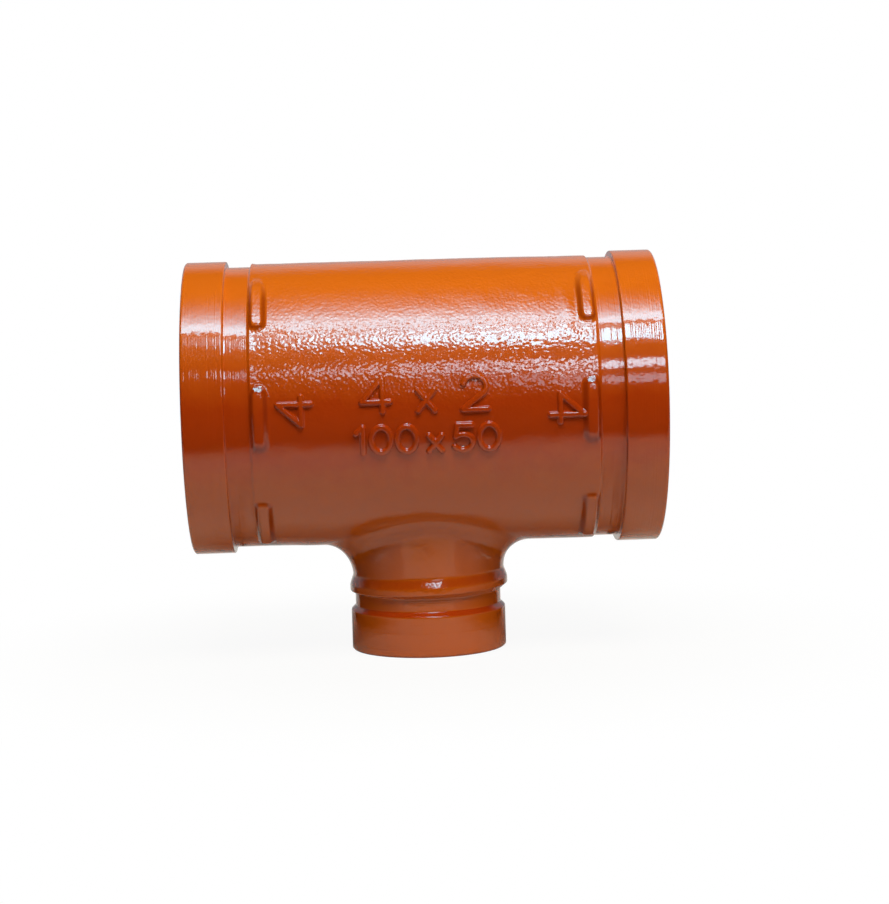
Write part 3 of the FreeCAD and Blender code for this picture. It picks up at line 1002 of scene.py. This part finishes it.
def soft_lamp(name, place, size, radiance, tint, way, in_gloss_alone=False):
    """Hang an evenly lit rectangle that looks a given way."""
    light = bpy.data.lights.new(name, "AREA")
    light.shape = "RECTANGLE"
    light.size, light.size_y = size
    light.energy = radiance * math.pi * size[0] * size[1]
    light.color = tint
    lamp = add_object(name, light)
    turned = way.to_track_quat("-Z", "Y").to_matrix().to_4x4()
    lamp.matrix_world = Matrix.Translation(place) @ turned
    lamp.visible_camera = False
    lamp.visible_glossy, lamp.visible_diffuse = in_gloss_alone, not in_gloss_alone


def build_studio(light):
    """Set the floor, the mirrored room, the lights, the world and the camera."""
    floor = CAD_LOW.z
    stage_sheet("studio_floor", flat_sheet((-6, 6), (-6, 6), floor, 3), white_paper(),
                in_gloss_alone=False)
    turn, rise = np.meshgrid(np.linspace(0, 2 * np.pi, 49), np.linspace(-0.06, np.pi / 2, 17))
    dome = 2.4 * np.stack([np.cos(rise) * np.cos(turn), np.cos(rise) * np.sin(turn),
                           np.sin(rise)], -1)
    stage_sheet("studio_room", dome, dim_room())
    stage_sheet("studio_front_floor",
                flat_sheet((-2.4, 2.4), (-2.4, -0.155), floor + 0.001), fading_paper())
    # Two low black cards beside the branch, seen in the gloss alone, keep the paper out of its
    # sides: a painted shade in their reflection
    black = card_of_painted_shade(floor)
    for side, x in (("left", -0.075), ("right", 0.078)):
        card = flat_sheet((-0.11, 0.055), (floor + 0.0005, floor + 0.025), x)[..., [2, 0, 1]]
        stage_sheet(f"dark_card_{side}", card, black)
    stage_sheet("overhead_softbox", flat_sheet((-0.42, 0.48), (-0.56, 0.35), 1.1),
                softbox_cloth(light.overhead))
    for name, (x, z, tint, share) in PANES.items():
        soft_lamp(name, (sum(x) / 2, PANES_Y, sum(z) / 2), (x[1] - x[0], z[1] - z[0]),
                  light.window * share, tint, Vector((0, 1, 0)), in_gloss_alone=True)
    for name, (place, size, radiance) in LAMPS.items():
        soft_lamp(name, place, size, radiance, WARM, Vector() - Vector(place))

    world = bpy.context.scene.world or bpy.data.worlds.new("studio_world")
    bpy.context.scene.world = world
    world.use_nodes = True
    tree = world.node_tree
    tree.nodes.clear()
    soft = add_node(tree, "Background", {"Strength": light.ambient})
    white = add_node(tree, "Background", {"Color": [1, 1, 1, 1], "Strength": 1.0})
    add_node(tree, "OutputWorld", {
        "Surface": add_node(tree, "MixShader", {0: seen_white(tree), 1: soft, 2: white})})

    # The camera's place and axes, from the fit of the object's outline
    camera = bpy.data.cameras.new("camera")
    camera.lens, camera.sensor_width, camera.sensor_fit = 94.86, 36.0, "AUTO"
    eye = add_object("camera", camera)
    right, up = (0.99901, -0.03336, -0.02921), (0.03192, 0.08374, 0.99597)
    back = (-0.03078, -0.99592, 0.08472)
    turned = Matrix((right, up, back)).transposed().to_4x4()
    eye.matrix_world = Matrix.Translation((-0.020787, -0.937402, 0.059516)) @ turned
    bpy.context.scene.camera = eye
    bpy.context.scene.view_settings.view_transform = "Standard"


# The operators and their panel

class TEE_OT_casting(bpy.types.Operator):
    """Build the enamelled casting"""
    bl_idname = "tee.casting"
    bl_label = "Casting"

    def execute(self, context):
        scene = context.scene
        shell = build_casting(mm(scene.tee_sizes))
        values = np.concatenate(shell.values)
        materials = [enamel_over_casting(scene.tee_finish),
                     enamel_over_turning(scene.tee_finish)]
        piece = place_mesh("tee_casting", np.concatenate(shell.places) * MM, shell.faces,
                           materials, shell.finishes,
                           {"painted_pad_shade": values[:, 0], "feed": values[:, 1] * MM})
        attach(piece, "root")
        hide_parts("tee_body")
        return {"FINISHED"}


class TEE_OT_numerals(bpy.types.Operator):
    """Build the raised size numerals"""
    bl_idname = "tee.numerals"
    bl_label = "Size Numerals"

    def execute(self, context):
        places, faces = build_numerals(mm(context.scene.tee_sizes))
        piece = place_mesh("size_numerals", places * MM, faces,
                           [bpy.data.materials["gloss_enamel_over_sand_casting"]])
        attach(piece, "root")
        return {"FINISHED"}


class TEE_OT_studio(bpy.types.Operator):
    """Set the floor, lights and camera"""
    bl_idname = "tee.studio"
    bl_label = "Studio"

    def execute(self, context):
        build_studio(context.scene.tee_light)
        return {"FINISHED"}


class TEE_PT_panel(bpy.types.Panel):
    """Sizes, colours and steps of the tee"""
    bl_idname = "TEE_PT_panel"
    bl_label = "Grooved Reducing Tee"
    bl_space_type = "VIEW_3D"
    bl_region_type = "UI"
    bl_category = "Pipe Fitting"

    def draw(self, context):
        scene = context.scene
        for group in (scene.tee_sizes, scene.tee_finish, scene.tee_light):
            for name in type(group).__annotations__:
                self.layout.prop(group, name)
        for step in STEPS:
            self.layout.operator(step.bl_idname)


STEPS = (TEE_OT_casting, TEE_OT_numerals, TEE_OT_studio)
GROUPS = {"tee_sizes": TeeSizes, "tee_finish": TeeFinish, "tee_light": StudioLight}


def register():
    """Register the classes and hang the property groups on the scene."""
    for item in (*GROUPS.values(), *STEPS, TEE_PT_panel):
        bpy.utils.register_class(item)
    for name, group in GROUPS.items():
        setattr(bpy.types.Scene, name, PointerProperty(type=group))


def unregister():
    """Undo register()."""
    for name in GROUPS:
        delattr(bpy.types.Scene, name)
    for item in (TEE_PT_panel, *reversed(STEPS), *reversed(tuple(GROUPS.values()))):
        bpy.utils.unregister_class(item)


def main():
    """Build the casting, its numerals and the studio."""
    register()
    bpy.ops.tee.casting()
    bpy.ops.tee.numerals()
    bpy.ops.tee.studio()


if __name__ == "__main__":
    main()
